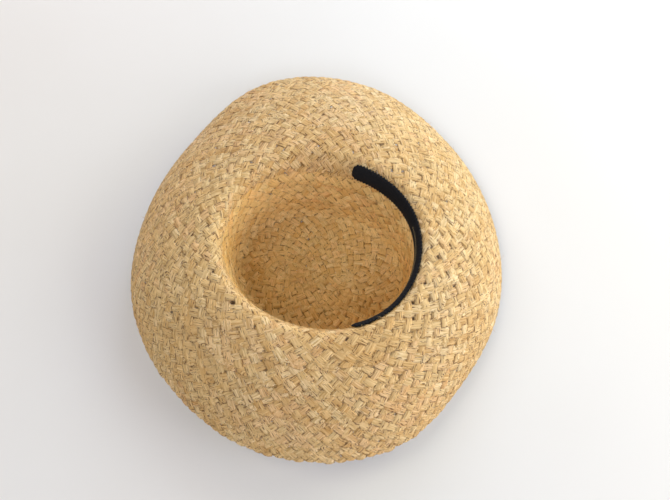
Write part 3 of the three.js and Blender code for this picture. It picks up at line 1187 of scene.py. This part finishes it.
@dataclass
class InnerStrip:
    """The short padded black ribbon sewn inside the opening on the hat's right side."""

    surface: HatSurface
    finish: Material
    thread: Material
    height: float = 13.5 * MM
    below_break: float = 1.5 * MM
    start: float = -60.0
    end: float = 83.5
    back: float = -1.3 * MM
    edge: float = 0.9 * MM
    padding: float = 1.7 * MM
    # Half the height that is left at the very ends, where the outline is round.
    end_half: float = 0.3 * MM
    pucker: float = 0.55 * MM
    pucker_pitch: float = 3.2 * MM
    # The ribbon puckers at its edges, and 0.3 times as much in its padding.
    pucker_power: int = 6
    padding_pucker: float = 0.3
    along_steps: int = 420
    across_steps: int = 12
    stitch_pitch: float = 2.2 * MM
    stitch_length: float = 1.3 * MM
    stitch_slant: float = 1.6
    stitch_bottom: float = -1.0 * MM
    stitch_thread: float = 0.16 * MM
    stitch_from_edge: float = 7.4 * MM
    sewn_between: tuple = (-25.0, 30.0)
    thread_stands: float = 0.15 * MM
    stitch_seed: int = 5

    def build(self) -> None:
        """Make the strip, sew it on, and put both into the scene."""
        hat = self.surface
        half = self.height / 2
        middle = hat.distance_at(hat.brk) - self.below_break - half
        turns = np.radians(np.linspace(self.start, self.end, self.along_steps))
        level = float(hat.rows_at(np.array([middle]))[0])
        line = hat.point(np.full_like(turns, level), turns)
        length = np.concatenate([[0], np.cumsum(np.linalg.norm(np.diff(line, axis=0), axis=1))])
        to_end = np.minimum(length, length[-1] - length)
        round_end = half**2 - np.clip(half - to_end, 0, half) ** 2
        reach = np.sqrt(np.clip(round_end, self.end_half**2, None))
        turn = np.linspace(0, 2 * math.pi, 2 * self.across_steps, endpoint=False)
        across = np.cos(turn)
        # The section starts at one edge and reaches the other half-way round.
        at_edge = np.arange(len(turn)) % self.across_steps == 0
        points, strand = [], []
        for direction, along, wide in zip(turns, length, reach):
            ripple = self.pucker * math.sin(2 * math.pi * along / self.pucker_pitch)
            side = across * (wide + ripple * np.abs(across) ** self.pucker_power * (wide > 0.5 * half))
            swell = self.edge + self.padding * np.sqrt(np.clip(1 - across**2, 0, 1)) * wide / half
            swell += self.padding_pucker * ripple * np.abs(across) ** 2
            height = np.where(np.sin(turn) >= 0, swell, 0.0)
            height = np.where(at_edge, self.edge / 2, height)
            rows = hat.rows_at(middle + side)
            facing = np.full_like(rows, direction)
            at = hat.point(rows, facing) + hat.normal(rows, facing) * (self.back - height)[:, None]
            points.append(at)
            strand.append(np.stack([np.full_like(side, along), side, 0 * side], axis=1))
        mesh = bpy.data.meshes.new("inner_strip")
        mesh.from_pydata(np.concatenate(points).tolist(), [], tube_faces(len(turns), len(turn)))
        store(mesh, "strand", np.concatenate(strand))
        mesh.materials.append(self.finish)
        smooth(mesh)
        outward(mesh)
        settle(mesh, "inner_band")
        self.sew(turns, length, middle - half)

    def sew(self, turns: np.ndarray, length: np.ndarray, edge: float) -> None:
        """Sew the strip to the straw with one line of stitches along its padded front.

        Args:
            turns: directions along the strip.
            length: the length along the strip at each.
            edge: the distance across the braids of the strip's edge nearest the tip.
        """
        hat = self.surface
        loop = ThreadLoop(
            length=self.stitch_length,
            slant=self.stitch_slant,
            top=self.edge,
            bottom=self.stitch_bottom,
            thread=self.stitch_thread,
        ).build()
        first, last = np.interp(np.radians(self.sewn_between), turns, length)
        inputs = {"Stitches": int((last - first) / self.stitch_pitch), "Pitch": self.stitch_pitch}
        mesh = StitchTree().run(
            "inner_strip_stitches", Stitch=loop, Seed=self.stitch_seed, Finish=self.thread, **inputs
        )
        x, y, z = points_of(mesh).T
        y = y + self.stitch_from_edge
        inside = np.clip(y / (self.height / 2), 0, 2)
        swell = self.edge + self.padding * np.sqrt(1 - (1 - inside) ** 2) + self.thread_stands
        z = np.where(z > 0, z / self.edge * swell, z)
        direction = np.interp(x + first, length, turns)
        rows = hat.rows_at(edge + y)
        move_points(mesh, hat.point(rows, direction) + hat.normal(rows, direction) * (self.back - z)[:, None])
        outward(mesh)
        settle(mesh, "inner_band")


@dataclass(frozen=True)
class Lamp:
    """One soft light: where it stands round the hat and over it, in degrees, its power and its colour."""

    name: str
    turn: float
    lift: float
    watts: float
    colour: str


@dataclass
class Studio:
    """The pale table, the soft light and the camera."""

    table_size: float = 2.8
    camera_at: tuple = (60.3 * MM, -161.9 * MM, 559.7 * MM)
    looks_at: tuple = (19.6 * MM, -9.95 * MM, 83.9 * MM)
    yaw: float = 15.0
    lens: float = 29.26
    sensor_width: float = 36.0
    room: str = "#f6f2ee"
    # The walls behind the table are pale; the room gets darker towards the ceiling.
    room_glow: Ramp = Ramp(0.0, 0.35, 0.75, 0.04)
    lamp_size: float = 0.9
    lamp_distance: float = 1.6
    lamps_face: tuple = (20 * MM, -10 * MM, 80 * MM)
    lamps: tuple = (
        Lamp("window_right", 0, 20, 16.5, "#f2f8ff"),
        Lamp("window_far_right", 45, 20, 14.4, "#fbfce8"),
        Lamp("window_far", 90, 20, 16.0, "#d8e8ff"),
        Lamp("wall_far_left", 135, 20, 5.2, "#ffe9ee"),
        Lamp("wall_near_right", 315, 20, 3.0, "#ffd5d0"),
        Lamp("ceiling_left", 180, 50, 7.4, "#fff9e6"),
        Lamp("ceiling_near", 270, 50, 10.5, "#e6efff"),
    )

    def table(self, finish: Material) -> None:
        """Make the table that the hat rests on.

        Args:
            finish: the table's material.
        """
        half = self.table_size / 2
        corners = [(-half, -half, 0), (half, -half, 0), (half, half, 0), (-half, half, 0)]
        mesh = bpy.data.meshes.new("table_top")
        mesh.from_pydata(corners, [], [(0, 1, 2, 3)])
        mesh.materials.append(finish)
        in_scene("table_top", mesh)

    def hang(self, lamp: Lamp) -> None:
        """Hang one square soft light that faces the hat.

        Args:
            lamp: the light.
        """
        data = bpy.data.lights.new(lamp.name, "AREA")
        data.size = self.lamp_size
        data.energy = lamp.watts
        data.color = linear(lamp.colour)[:3]
        turn, lift = math.radians(lamp.turn), math.radians(lamp.lift)
        away = Vector((math.cos(turn) * math.cos(lift), math.sin(turn) * math.cos(lift), math.sin(lift)))
        light = in_scene(lamp.name, data)
        light.location = Vector(self.lamps_face) + self.lamp_distance * away
        light.rotation_euler = away.to_track_quat("Z", "Y").to_euler()

    def camera(self) -> None:
        """Place the camera as the photograph has it."""
        data = bpy.data.cameras.new("camera")
        data.lens = self.lens
        data.sensor_width = self.sensor_width
        camera = in_scene("camera", data)
        forward = (Vector(self.looks_at) - Vector(self.camera_at)).normalized()
        right = Vector((math.cos(math.radians(self.yaw)), math.sin(math.radians(self.yaw)), 0))
        up = right.cross(forward).normalized()
        right = forward.cross(up)
        turned = Matrix((right, up, -forward)).transposed().to_4x4()
        camera.matrix_world = Matrix.Translation(self.camera_at) @ turned
        bpy.context.scene.camera = camera

    def build(self) -> None:
        """Make the whole studio."""
        self.table(PaleTable().build())
        world = bpy.data.worlds.new("studio")
        world.use_nodes = True
        tree = world.node_tree
        background = tree.nodes["Background"]
        background.inputs["Color"].default_value = linear(self.room)
        direction = add_node(tree, "ShaderNodeTexCoord").outputs["Generated"]
        height = add_node(tree, "ShaderNodeSeparateXYZ", {0: direction}).outputs["Z"]
        glow = add_node(tree, "ShaderNodeMapRange", self.room_glow.of(height)).outputs[0]
        tree.links.new(glow, background.inputs["Strength"])
        bpy.context.scene.world = world
        bpy.context.scene.view_settings.view_transform = "Standard"
        for lamp in self.lamps:
            self.hang(lamp)
        self.camera()


def main() -> None:
    """Build the hat's pieces in order, then the studio."""
    surface = HatSurface()
    straw = {"crown": PressedRaffiaWarmBounce().build(), "brim": Raffia().build()}
    StrawRows(surface, straw, SEAM_THREAD.build()).build()
    InnerStrip(surface, CoveredRibbon().build(), STRIP_THREAD.build()).build()
    Studio().build()


if __name__ == "__main__":
    main()
